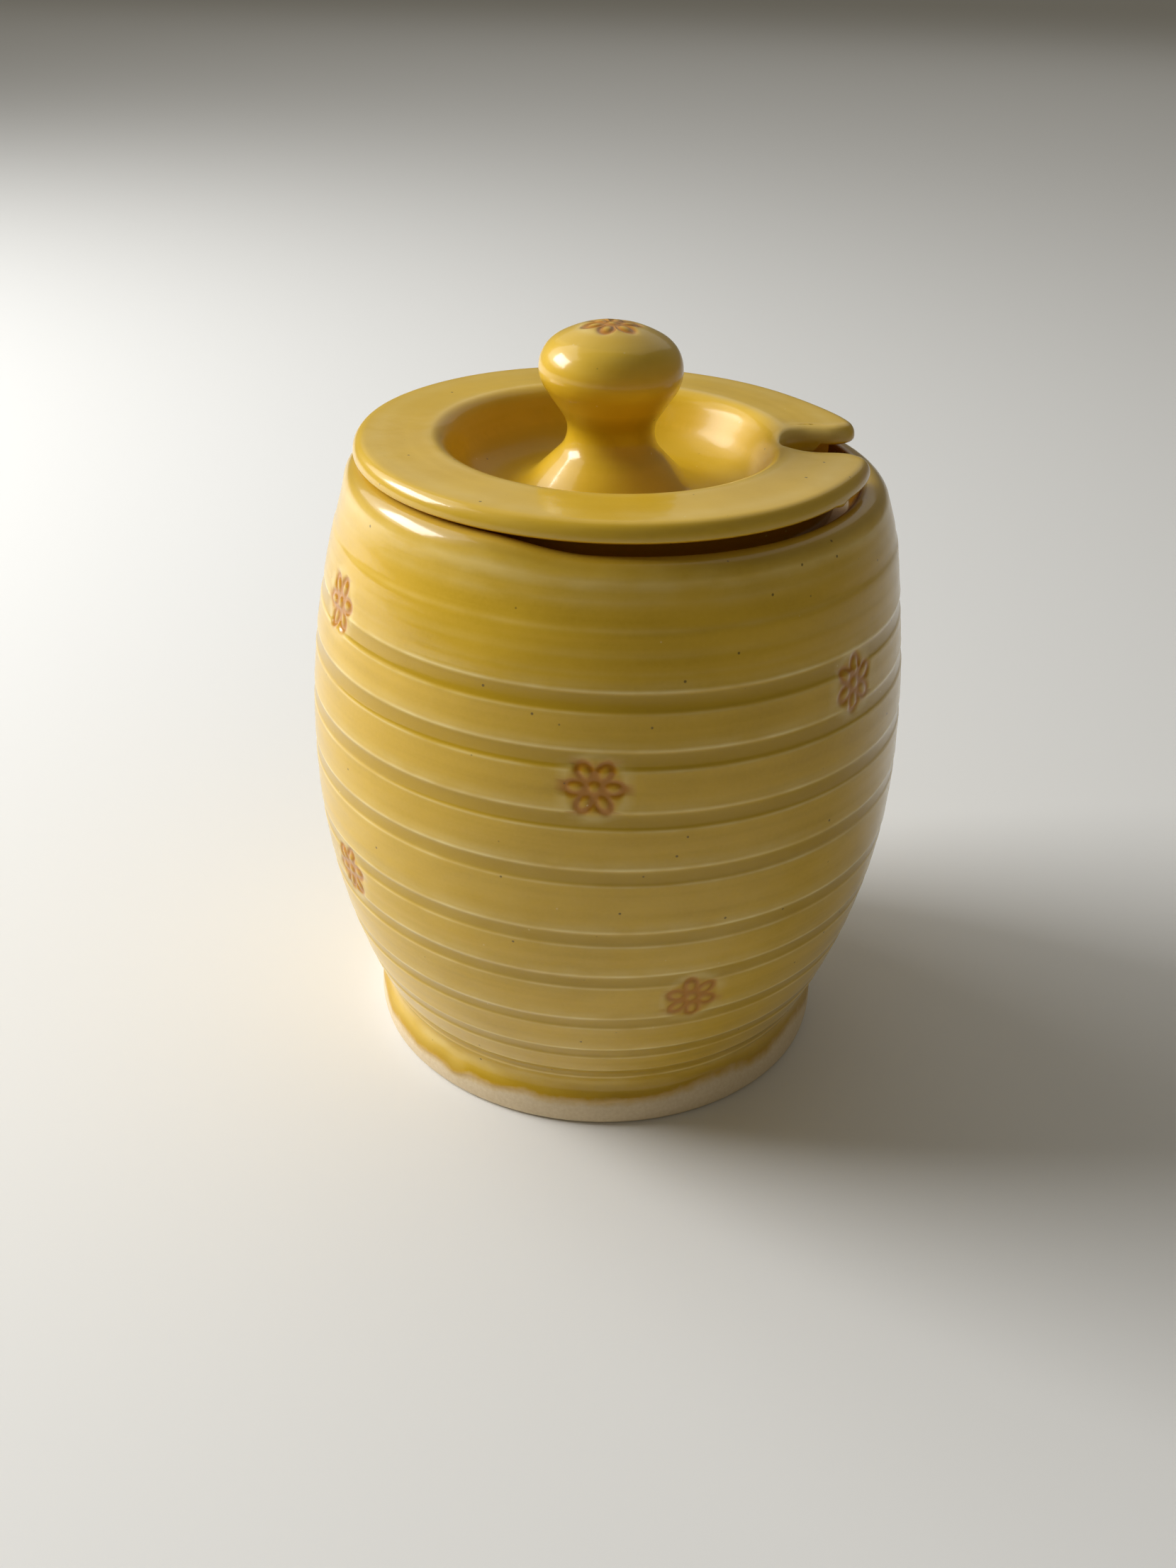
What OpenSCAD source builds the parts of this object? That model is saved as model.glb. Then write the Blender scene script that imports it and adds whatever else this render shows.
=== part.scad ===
// Honey pot with a sunken lift-off lid, both thrown in clay and glazed yellow.
// The pot stands on z = 0 with its axis on Z. The spoon notch in the lid points along +X.
// All sizes are in millimetres and angles in degrees.

/* [Pot body] */
// Radius of the belly, the pot's widest ring
belly_r = 50; // [46:0.5:58]
// Height of the belly above the table
belly_z = 55.5; // [48:0.5:62]
// Radius of the rim, at the top of its curve
rim_r = 39.6; // [36:0.1:42]
// Height of the rim above the table
rim_z = 103.3; // [98:0.1:112]
// Radius of the round shoulder that turns the side into the rim
shoulder_round = 3.6; // [2:0.1:5]
// Height at which the trimmed collar under the rim ends in a small step
step_z = 94.4; // [92:0.1:97]
// How far the collar lies behind the side below that step
step_depth = 0.3; // [0.1:0.05:0.6]
// Thickness of the side wall
wall = 5; // [3.5:0.1:6]
// Thickness of the clay between the inside and the hollow under the foot
floor_t = 4.5; // [3:0.1:7]
// Radius of the curve between floor and wall inside
floor_round = 9; // [4:0.5:14]

/* [Foot] */
// Radius of the foot at its widest
foot_r = 40.9; // [40.6:0.1:43]
// Radius of the foot's rounded side, seen from the front
foot_roll = 8; // [6:0.5:9]
// Radius of the neck above the foot
neck_r = 39.6; // [37:0.1:40.4]
// Height of that neck above the table
neck_z = 8; // [7:0.1:9.5]
// Radius of the hollow curve in the neck
neck_curve = 3.5; // [2:0.1:5]
// Bevel at the foot's lower edge
foot_bevel = 0.6; // [0.3:0.1:1]
// Width of the ring that the pot stands on
foot_ring_w = 7; // [4:0.5:12]
// Depth of the hollow turned under the foot
foot_hollow = 2; // [1:0.1:3]

/* [Tooled grooves] */
// Height of the highest groove, at its middle
groove_top_z = 84.5; // [82:0.5:88]
// Distance from each groove down to the next, as the hand spaced them
groove_steps = [8.5, 9.5, 9.5, 11.5, 9, 10, 8.5, 6.5]; // [5:0.5:12]
// Width of the highest groove at the surface
groove_top_w = 2.9; // [2:0.1:3.4]
// Width of the lowest groove at the surface, the others lying in between
groove_low_w = 2.2; // [1.5:0.1:3]
// Depth of a groove
groove_depth = 0.5; // [0.3:0.05:0.9]
// How far each side of a groove leans out on its way up from the floor
groove_lean = 0.25; // [0.1:0.05:0.5]

/* [Gallery for the lid] */
// Radius of the rim's inner edge
rim_edge_round = 0.8; // [0.4:0.1:1.2]
// Depth of the ledge below the rim
gallery_depth = 4.2; // [3:0.1:6]
// How far the gallery's wall leans in on its way down to the ledge
gallery_lean = 1.4; // [0.5:0.1:2]
// Width of the ledge that carries the lid
ledge_w = 3.6; // [3:0.1:6]
// Thickness of the ledge at the mouth
ledge_t = 3.2; // [2:0.1:5]
// Radius of the ledge's edge at the mouth
mouth_round = 0.5; // [0.3:0.1:0.8]

/* [Lid] */
// Play all round between the lid's seat ring and the gallery
lid_play = 1.4; // [1.2:0.1:2]
// How far the loose lid lies from the pot's axis, along X
lid_off_x = -0.9; // [-0.9:0.1:0.9]
// How far the flange reaches out past the rim
flange_over = 0.9; // [0:0.1:3]
// Open gap between the rim and the underside of the flange
flange_gap = 2; // [1:0.1:3]
// Thickness of the flange at its edge
flange_t = 3; // [2.6:0.1:5]
// Radius of the flange's upper edge
flange_round = 1.7; // [0.8:0.1:1.8]
// Radius of the flange's lower edge
flange_under_round = 0.6; // [0.3:0.1:0.9]
// Width of the flange's flat top, from its edge to the well
flange_w = 12; // [10:0.5:13]
// Thickness of the seat ring under the flange
seat_ring_w = 3.8; // [3.4:0.1:5]
// Thickness of the clay round the well
lid_wall = 4.3; // [3:0.1:5]
// Radius of the lip between the flange and the well
well_lip = 3.5; // [2:0.1:4.5]

/* [Knob] */
// Radius of the knob
knob_r = 11.25; // [10:0.25:13]
// Height of the knob's widest ring above the flange
knob_rise = 10.1; // [8.5:0.1:14]
// Radius of the knob's round side
knob_roll = 5.5; // [4:0.1:6.5]
// Radius of the knob's flatter top
knob_dome = 17; // [12:0.5:30]
// Radius of the stem at its narrowest
stem_r = 6.9; // [5.5:0.1:7.5]
// Height of that waist above the flange
stem_rise = 0.6; // [-1:0.1:2]
// Radius of the hollow curve from the waist up to the knob
stem_curve = 4.5; // [3:0.1:5]
// Radius of the curve that spreads from the waist into the well's floor
stem_flare = 9.5; // [8:0.1:11]

/* [Spoon notch] */
// Width of the notch
notch_w = 10.6; // [8:0.1:13]
// Radius from the lid's axis at which the notch ends
notch_in = 27.2; // [26.5:0.1:29]
// Radius of the rounded lip along the notch
notch_lip = 1.8; // [0.8:0.1:2.4]
// Radius of its two corners at the flange's edge
notch_mouth_round = 4; // [2:0.1:5]

/* [Hidden] */
$fn = 96;
// Length of the chords that draw the long curves
CHORD = 2.5;
// Number of chords in a small rounding
ROUND_STEPS = 6;
// How far a cutter runs past what it cuts
OVER = 1;
// Small overlap that lets a curved cutter cross a face where it would only graze it
NUDGE = 0.05;

// Centres and radii of the curves of the outside, each tangent to the next
lower_fall = belly_r - neck_r;
lower_curve = ((belly_z - neck_z) ^ 2 + lower_fall ^ 2) / (2 * lower_fall) - neck_curve;
lower_c = [belly_r - lower_curve, belly_z];
neck_c = [neck_r + neck_curve, neck_z];
neck_a = atan2(belly_z - neck_z, neck_c.x - lower_c.x);

foot_flare = foot_r - neck_r;
foot_c = [
    foot_r - foot_roll,
    neck_z - sqrt(2 * (neck_curve + foot_roll) * foot_flare - foot_flare ^ 2)
];
foot_top_a = atan2(neck_c.y - foot_c.y, neck_c.x - foot_c.x);
foot_low_a = asin((foot_bevel - foot_c.y) / foot_roll);

collar_fall = belly_r - step_depth - rim_r;
shoulder_z = rim_z - shoulder_round;
collar_curve = (collar_fall ^ 2 + (shoulder_z - belly_z) ^ 2 - shoulder_round ^ 2)
    / (2 * (collar_fall - shoulder_round));
upper_curve = collar_curve + step_depth;
upper_c = [belly_r - upper_curve, belly_z];
step_a = asin((step_z - belly_z) / upper_curve);
shoulder_a = asin((shoulder_z - belly_z) / (collar_curve - shoulder_round));

// Ring that the pot stands on
foot_ring_r = foot_c.x + foot_roll * cos(foot_low_a) - foot_bevel;
foot_ring_in = foot_ring_r - foot_ring_w;

// Inside of the pot: the outer curves moved in by the wall
floor_z = foot_hollow + floor_t;
inner_lower = lower_curve - wall;
inner_upper = upper_curve - wall;
floor_c = [
    lower_c.x + sqrt((inner_lower - floor_round) ^ 2 - (belly_z - floor_z - floor_round) ^ 2),
    floor_z + floor_round
];
floor_a = asin((floor_c.y - belly_z) / (inner_lower - floor_round));

// Gallery, ledge and mouth
gallery_r = rim_r - rim_edge_round;
ledge_z = rim_z - gallery_depth;
ledge_r = gallery_r - gallery_lean;
mouth_r = ledge_r - ledge_w;
ledge_under = [mouth_r, ledge_z - ledge_t];
// The underside of the ledge slopes out at 45 degrees until it meets the wall
under_d = ledge_under - upper_c;
under_run = (sqrt((under_d.x - under_d.y) ^ 2 - 2 * (under_d * under_d - inner_upper ^ 2))
    - (under_d.x - under_d.y)) / 2;
under_end = ledge_under + under_run * [1, -1];
under_a = atan2(under_end.y - upper_c.y, under_end.x - upper_c.x);

// Lid, sized from the rim and the gallery
flange_r = rim_r + flange_over;
flange_z = rim_z + flange_gap;
lid_top = flange_z + flange_t;
seat_r = ledge_r - lid_play;
seat_in = seat_r - seat_ring_w;
well_r = flange_r - flange_w;
stem_z = lid_top + stem_rise;
well_floor = stem_z - stem_flare;
well_floor_r = stem_r + stem_flare;
// The bowl of the well is tangent to its floor and to the round lip
lip_c = [well_r, lid_top - well_lip];
bowl_run = lip_c.x - well_floor_r;
bowl_rise = lip_c.y - well_floor;
bowl_r = (bowl_run ^ 2 + bowl_rise ^ 2 - well_lip ^ 2) / (2 * (bowl_rise + well_lip));
bowl_c = [well_floor_r, well_floor + bowl_r];
lip_a = atan2(lip_c.y - bowl_c.y, lip_c.x - bowl_c.x);
bowl_out = bowl_r + lid_wall;
// The bowl's outside meets the underside of the flange here
web_z = lid_top - lid_wall;
web_a = asin((web_z - bowl_c.y) / bowl_out);

// Knob
knob_z = lid_top + knob_rise;
roll_c = [knob_r - knob_roll, knob_z];
dome_drop = sqrt((knob_dome - knob_roll) ^ 2 - roll_c.x ^ 2);
dome_c = [0, knob_z - dome_drop];
dome_a = atan2(dome_drop, roll_c.x);
waist_c = [stem_r + stem_curve, stem_z];
// The taper under the knob is the straight line that touches its side and the waist
taper_d = waist_c - roll_c;
taper_a = atan2(taper_d.y, taper_d.x) + acos((knob_roll + stem_curve) / norm(taper_d));

// Spoon notch, whose inner end is half round
notch_half = notch_w / 2;
notch_end = notch_in + notch_half;
notch_far = flange_r + 2 * OVER;
notch_low = well_floor - lid_wall - OVER;
notch_corner_y = notch_half + notch_mouth_round;
notch_corner_x = sqrt((flange_r - notch_mouth_round + NUDGE) ^ 2 - notch_corner_y ^ 2);
notch_corner_a = atan2(notch_corner_y, notch_corner_x);

pot_colour = "#E2B84A";
lid_colour = "#E9C258";

// Points along an arc from angle a to angle b round the centre c, in a given number of chords
function arc(c, r, a, b, steps) =
    [for (i = [0:steps]) let (t = a + (b - a) * i / steps) c + r * [cos(t), sin(t)]];

// The same, with the number of chords that a long curve needs
function long_arc(c, r, a, b) = arc(c, r, a, b, ceil(abs(b - a) * PI / 180 * r / CHORD));

// Radius of the pot's side at a height, between the neck and the step
function side_r(z) =
    z > belly_z ? upper_c.x + sqrt(upper_curve ^ 2 - (z - belly_z) ^ 2)
    : lower_c.x + sqrt(lower_curve ^ 2 - (z - belly_z) ^ 2);

// How far the side leans in at that height
function side_lean(z) = asin((z - belly_z) / (z > belly_z ? upper_curve : lower_curve));

// Height and width of the groove at place i, counted down from the top one
function groove_z(i) = i == 0 ? groove_top_z : groove_z(i - 1) - groove_steps[i - 1];
function groove_w(i) = groove_top_w + (groove_low_w - groove_top_w) * i / len(groove_steps);

// Outline of the pot's outside, from the foot up to the rim's inner edge
function pot_outside() = concat(
    [[foot_ring_r, 0]],
    arc(foot_c, foot_roll, foot_low_a, foot_top_a, ROUND_STEPS),
    arc(neck_c, neck_curve, 180 + foot_top_a, 180 - neck_a, ROUND_STEPS),
    long_arc(lower_c, lower_curve, -neck_a, 0),
    long_arc(upper_c, upper_curve, 0, step_a),
    long_arc(upper_c, collar_curve, step_a, shoulder_a),
    arc([rim_r, shoulder_z], shoulder_round, shoulder_a, 90, 2 * ROUND_STEPS),
    arc([rim_r, rim_z - rim_edge_round], rim_edge_round, 90, 180, ROUND_STEPS)
);

// Outline of the pot's inside, from the gallery down to the floor
function pot_inside() = concat(
    [[ledge_r, ledge_z]],
    arc([mouth_r + mouth_round, ledge_z - mouth_round], mouth_round, 90, 180, ROUND_STEPS),
    [ledge_under],
    long_arc(upper_c, inner_upper, under_a, 0),
    long_arc(lower_c, inner_lower, 0, floor_a),
    arc(floor_c, floor_round, floor_a, -90, 2 * ROUND_STEPS),
    [[0, floor_z]]
);

// Thrown pot: barrel side, foot ring, gallery and tooled grooves
module pot() {
    foot_slope = foot_hollow;
    color(pot_colour)
        rotate_extrude()
            difference() {
                polygon(concat(
                    [[0, foot_hollow], [foot_ring_in - foot_slope, foot_hollow], [foot_ring_in, 0]],
                    pot_outside(),
                    pot_inside()
                ));
                for (i = [0:len(groove_steps)])
                    translate([side_r(groove_z(i)), groove_z(i)])
                        rotate(side_lean(groove_z(i))) groove_section(groove_w(i));
            }
}

// Flat-bottomed groove across the side, which lies on x = 0
module groove_section(w) {
    floor_half = w / 2 - groove_lean;
    outer_half = w / 2 + groove_lean * OVER / groove_depth;
    polygon([
        [-groove_depth, -floor_half],
        [OVER, -outer_half],
        [OVER, outer_half],
        [-groove_depth, floor_half]
    ]);
}

// Outline of the lid's top, from the knob out to the flange's edge
function lid_top_side() = concat(
    arc(dome_c, knob_dome, 90, dome_a, ROUND_STEPS),
    arc(roll_c, knob_roll, dome_a, taper_a, 2 * ROUND_STEPS),
    arc(waist_c, stem_curve, 180 + taper_a, 180, ROUND_STEPS),
    arc([stem_r + stem_flare, stem_z], stem_flare, 180, 270, 2 * ROUND_STEPS),
    arc(bowl_c, bowl_r, -90, lip_a, 2 * ROUND_STEPS),
    arc(lip_c, well_lip, 180 + lip_a, 90, ROUND_STEPS),
    arc([flange_r - flange_round, lid_top - flange_round], flange_round, 90, 0, ROUND_STEPS)
);

// Outline of the lid's underside, from the flange's edge in to the axis
function lid_under_side() = concat(
    arc([flange_r - flange_under_round, flange_z + flange_under_round], flange_under_round, 0, -90,
        ROUND_STEPS),
    [[seat_r, flange_z], [seat_r, ledge_z], [seat_in, ledge_z], [seat_in, web_z]],
    arc(bowl_c, bowl_out, web_a, -90, 2 * ROUND_STEPS),
    [[0, well_floor - lid_wall]]
);

// Thrown lid: knob, well, flange and the ring that seats in the gallery
module lid() {
    color(lid_colour)
        translate([lid_off_x, 0, 0])
            difference() {
                rotate_extrude() polygon(concat(lid_top_side(), lid_under_side()));
                notch_slot();
                notch_inner_end();
                translate([0, 0, notch_low])
                    linear_extrude(lid_top - notch_low + OVER)
                        for (side = [0, 1]) mirror([0, side]) notch_corner();
            }
}

// One side of the notch in section, from its bottom up over the rounded lip
function notch_side() = concat(
    [[notch_half, notch_low]],
    arc([notch_half + notch_lip, lid_top - notch_lip], notch_lip, 180, 90, ROUND_STEPS),
    [[notch_half + notch_lip, lid_top + OVER]]
);

// Straight part of the spoon notch, open at the flange's edge
module notch_slot() {
    right = notch_side();
    left = [for (i = [1:len(right)]) [-right[len(right) - i].x, right[len(right) - i].y]];
    translate([notch_end, 0, 0])
        rotate([90, 0, 90])
            linear_extrude(notch_far - notch_end) polygon(concat(right, left));
}

// Half-round inner end of the spoon notch, with the same lip
module notch_inner_end() {
    translate([notch_end, 0, 0])
        rotate([0, 0, 90])
            rotate_extrude(angle = 180)
                polygon(concat([[0, lid_top + OVER], [0, notch_low]], notch_side()));
}

// Plan of what rounds one corner between the notch's side and the flange's edge
module notch_corner() {
    corner = [notch_corner_x, notch_corner_y];
    difference() {
        polygon([
            [notch_corner_x, notch_half - OVER],
            [notch_far, notch_half - OVER],
            notch_far * [cos(notch_corner_a), sin(notch_corner_a)],
            corner
        ]);
        translate(corner) circle(notch_mouth_round);
    }
}

pot();
lid();
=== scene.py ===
# %% [markdown]
# # A wheel-thrown honey pot
#
# The real object is two pieces of fired clay under a honey-yellow glaze: a barrel-shaped pot and a
# lid that drops into its rim. The exact solids are already packed. This lesson dresses them. It
# models both pieces again with the soft edges, the tooled grooves, the pressed flowers and the
# pooled glaze that a potter's hand and a kiln leave behind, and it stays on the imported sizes.

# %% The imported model
import math

import bmesh
import bpy
from mathutils import Matrix, Vector, noise


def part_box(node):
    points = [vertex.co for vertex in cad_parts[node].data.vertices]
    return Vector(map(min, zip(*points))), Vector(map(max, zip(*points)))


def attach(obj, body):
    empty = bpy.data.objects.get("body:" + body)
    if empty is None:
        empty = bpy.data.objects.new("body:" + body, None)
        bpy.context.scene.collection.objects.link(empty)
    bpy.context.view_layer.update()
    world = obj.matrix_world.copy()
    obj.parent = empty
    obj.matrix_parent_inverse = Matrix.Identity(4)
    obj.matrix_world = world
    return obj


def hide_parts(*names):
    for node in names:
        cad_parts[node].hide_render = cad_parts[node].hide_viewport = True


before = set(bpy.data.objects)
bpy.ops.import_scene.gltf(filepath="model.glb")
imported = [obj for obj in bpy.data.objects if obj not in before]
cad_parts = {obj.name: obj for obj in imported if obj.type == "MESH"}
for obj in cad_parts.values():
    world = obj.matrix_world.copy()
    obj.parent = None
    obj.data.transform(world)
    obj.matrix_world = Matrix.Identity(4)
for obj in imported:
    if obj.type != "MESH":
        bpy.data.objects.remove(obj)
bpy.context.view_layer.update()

MM = 0.001
TURN = 2 * math.pi

pot_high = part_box("pot")[1].z / MM
lid_low, lid_high = (corner.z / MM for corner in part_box("lid"))
print("pot reaches up to", round(pot_high, 2), "mm")
print("lid from", round(lid_low, 2), "to", round(lid_high, 2), "mm")

# %% [markdown]
# ## Small helpers
#
# Both pieces are turned shapes, so almost every outline here is a chain of arcs. One function gives
# the points of an arc, and the others ease a value in and out, as a finger eases an edge in clay.
# All sizes are written in millimetres and become metres when a mesh is finished.


# %% Arcs and easing
def arc(centre, radius, start, end, chord):
    """Points (radius, height) along an arc from one angle to another, about a chord apart."""
    steps = max(2, math.ceil(abs(math.radians(end - start)) * radius / chord))
    angles = [math.radians(start + (end - start) * i / steps) for i in range(steps + 1)]
    return [(centre[0] + radius * math.cos(a), centre[1] + radius * math.sin(a)) for a in angles]


def ease(low, high, value):
    """0 at low, 1 at high, with a smooth way between them."""
    t = min(1.0, max(0.0, (value - low) / (high - low)))
    return t * t * (3 - 2 * t)


def bump(middle, width, value):
    """1 in the middle, falling to nothing about two widths away."""
    return math.exp(-(((value - middle) / width) ** 2))


def drift(x, y, z, across, up):
    """Smooth noise from -1 to 1 whose cells are so many millimetres across and high."""
    return noise.noise(Vector((x / across, y / across, z / up)))


# %% [markdown]
# ## The camera
#
# The photograph looks down on the pot from close by, so the perspective is strong and the foot looks
# smaller than the rim. The distance, height and tilt were found by laying circles of the turned
# shape over the outline in the picture. They are written here as real distances and angles.

# %% Camera
# Height of the picture and focal length, both in its own pixels
PHOTO_HIGH = 2212
FOCAL = 2148.9
camera_data = bpy.data.cameras.new("camera")
camera_data.sensor_fit = "VERTICAL"
camera_data.sensor_height = 36
camera_data.lens = camera_data.sensor_height * FOCAL / PHOTO_HIGH
camera_data.clip_start = 0.01

# How far back and up the camera stands from the middle of the foot, and how it is turned
CAMERA_BACK = 235.6
CAMERA_UP = 182.4
LOOK_DOWN = 30.49
LOOK_LEFT = 0.66
HEAD_TILT = 1.86
# The real lid lay turned a little in its seat, so the camera goes round by the same angle
LID_TURN = 1.75

placed = Matrix.Rotation(math.radians(-LID_TURN), 4, "Z") @ Matrix.Translation(
    (0, -CAMERA_BACK * MM, CAMERA_UP * MM)
)
aimed = Matrix.Rotation(math.radians(LOOK_LEFT), 4, "Z") @ Matrix.Rotation(
    math.radians(90 - LOOK_DOWN), 4, "X"
)
camera = bpy.data.objects.new("camera", camera_data)
camera.matrix_world = placed @ aimed @ Matrix.Rotation(math.radians(HEAD_TILT), 4, "Z")
bpy.context.scene.collection.objects.link(camera)
bpy.context.scene.camera = camera
print("lens", round(camera_data.lens, 2), "mm, at", [round(v / MM) for v in camera.location])

# %% [markdown]
# ## Colours and nodes
#
# A colour is picked on a screen as an sRGB hex value, but light adds up in linear values, so one
# function turns one into the other. A second small function adds a node with its settings and its
# links, which keeps a long material readable from top to bottom.


# %% Colour and node helpers
def colour(code):
    """Linear colour of an sRGB hex value such as #D2AC4A."""
    parts = [int(code[i : i + 2], 16) / 255 for i in (1, 3, 5)]
    return (*((p / 12.92 if p <= 0.04045 else ((p + 0.055) / 1.055) ** 2.4) for p in parts), 1)


def add(tree, kind, inputs=None, **settings):
    """Adds a node. Each input is a plain value or the output socket that it is linked to."""
    node = tree.nodes.new(kind)
    for name, value in settings.items():
        setattr(node, name, value)
    for name, value in (inputs or {}).items():
        if isinstance(value, bpy.types.NodeSocket):
            tree.links.new(value, node.inputs[name])
        else:
            node.inputs[name].default_value = value
    return node


# %% [markdown]
# ## Floor and light
#
# A pale floor runs back until it is out of sight. Soft boxes stand for what shows in the glaze: a
# large window at the left that lights the pot from the side, a small bright pane in it, which gives
# the crisp highlights on the knob and the shoulder, and a pale wall behind, which lies as a broad
# sheen on the flange. A warm pale world fills the shadows. The level is plain, so a colour renders
# about as it is written.

# %% Floor
floor_mesh = bmesh.new()
bmesh.ops.create_circle(floor_mesh, cap_ends=True, segments=64, radius=30)
floor_data = bpy.data.meshes.new("floor")
floor_mesh.to_mesh(floor_data)
floor_mesh.free()
floor = bpy.data.objects.new("floor", floor_data)
bpy.context.scene.collection.objects.link(floor)

paper = bpy.data.materials.new("matt_pale_paper")
paper.use_nodes = True
paper.node_tree.nodes.clear()
sheet = add(
    paper.node_tree,
    "ShaderNodeBsdfPrincipled",
    {"Base Color": colour("#ECECEA"), "Roughness": 0.9, "Specular IOR Level": 0.2},
)
add(paper.node_tree, "ShaderNodeOutputMaterial", {"Surface": sheet.outputs["BSDF"]})
floor_data.materials.append(paper)

# %% World
FILL_LEVEL = 0.16
world = bpy.data.worlds.new("pale_room")
world.use_nodes = True
world.node_tree.nodes.clear()
fill = add(
    world.node_tree, "ShaderNodeBackground", {"Color": colour("#F4EBD6"), "Strength": FILL_LEVEL}
)
add(world.node_tree, "ShaderNodeOutputWorld", {"Surface": fill.outputs["Background"]})
bpy.context.scene.world = world
bpy.context.scene.view_settings.view_transform = "Standard"


# %% Soft boxes
POT_MIDDLE = 60


def soft_box(name, azimuth, elevation, distance, width, height, watts):
    """A rectangular lamp aimed at the pot. Azimuth 0 is towards the camera and 90 is right."""
    data = bpy.data.lights.new(name, "AREA")
    data.shape = "RECTANGLE"
    data.size = width
    data.size_y = height
    data.energy = watts
    a, e = math.radians(azimuth), math.radians(elevation)
    away = Vector((math.sin(a) * math.cos(e), -math.cos(a) * math.cos(e), math.sin(e)))
    lamp = bpy.data.objects.new(name, data)
    lamp.location = Vector((0, 0, POT_MIDDLE * MM)) + away * distance
    lamp.rotation_mode = "QUATERNION"
    lamp.rotation_quaternion = away.to_track_quat("Z", "Y")
    bpy.context.scene.collection.objects.link(lamp)
    print(name, "gives", watts, "W from", distance, "m away")


soft_box("window_left", -112, 36, 1.0, 0.8, 0.8, 4.1)
soft_box("bright_pane", -100, 30, 0.97, 0.5, 0.34, 8.0)
soft_box("pale_wall_behind", 176, 50, 2.0, 2.4, 2.4, 6)
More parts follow.
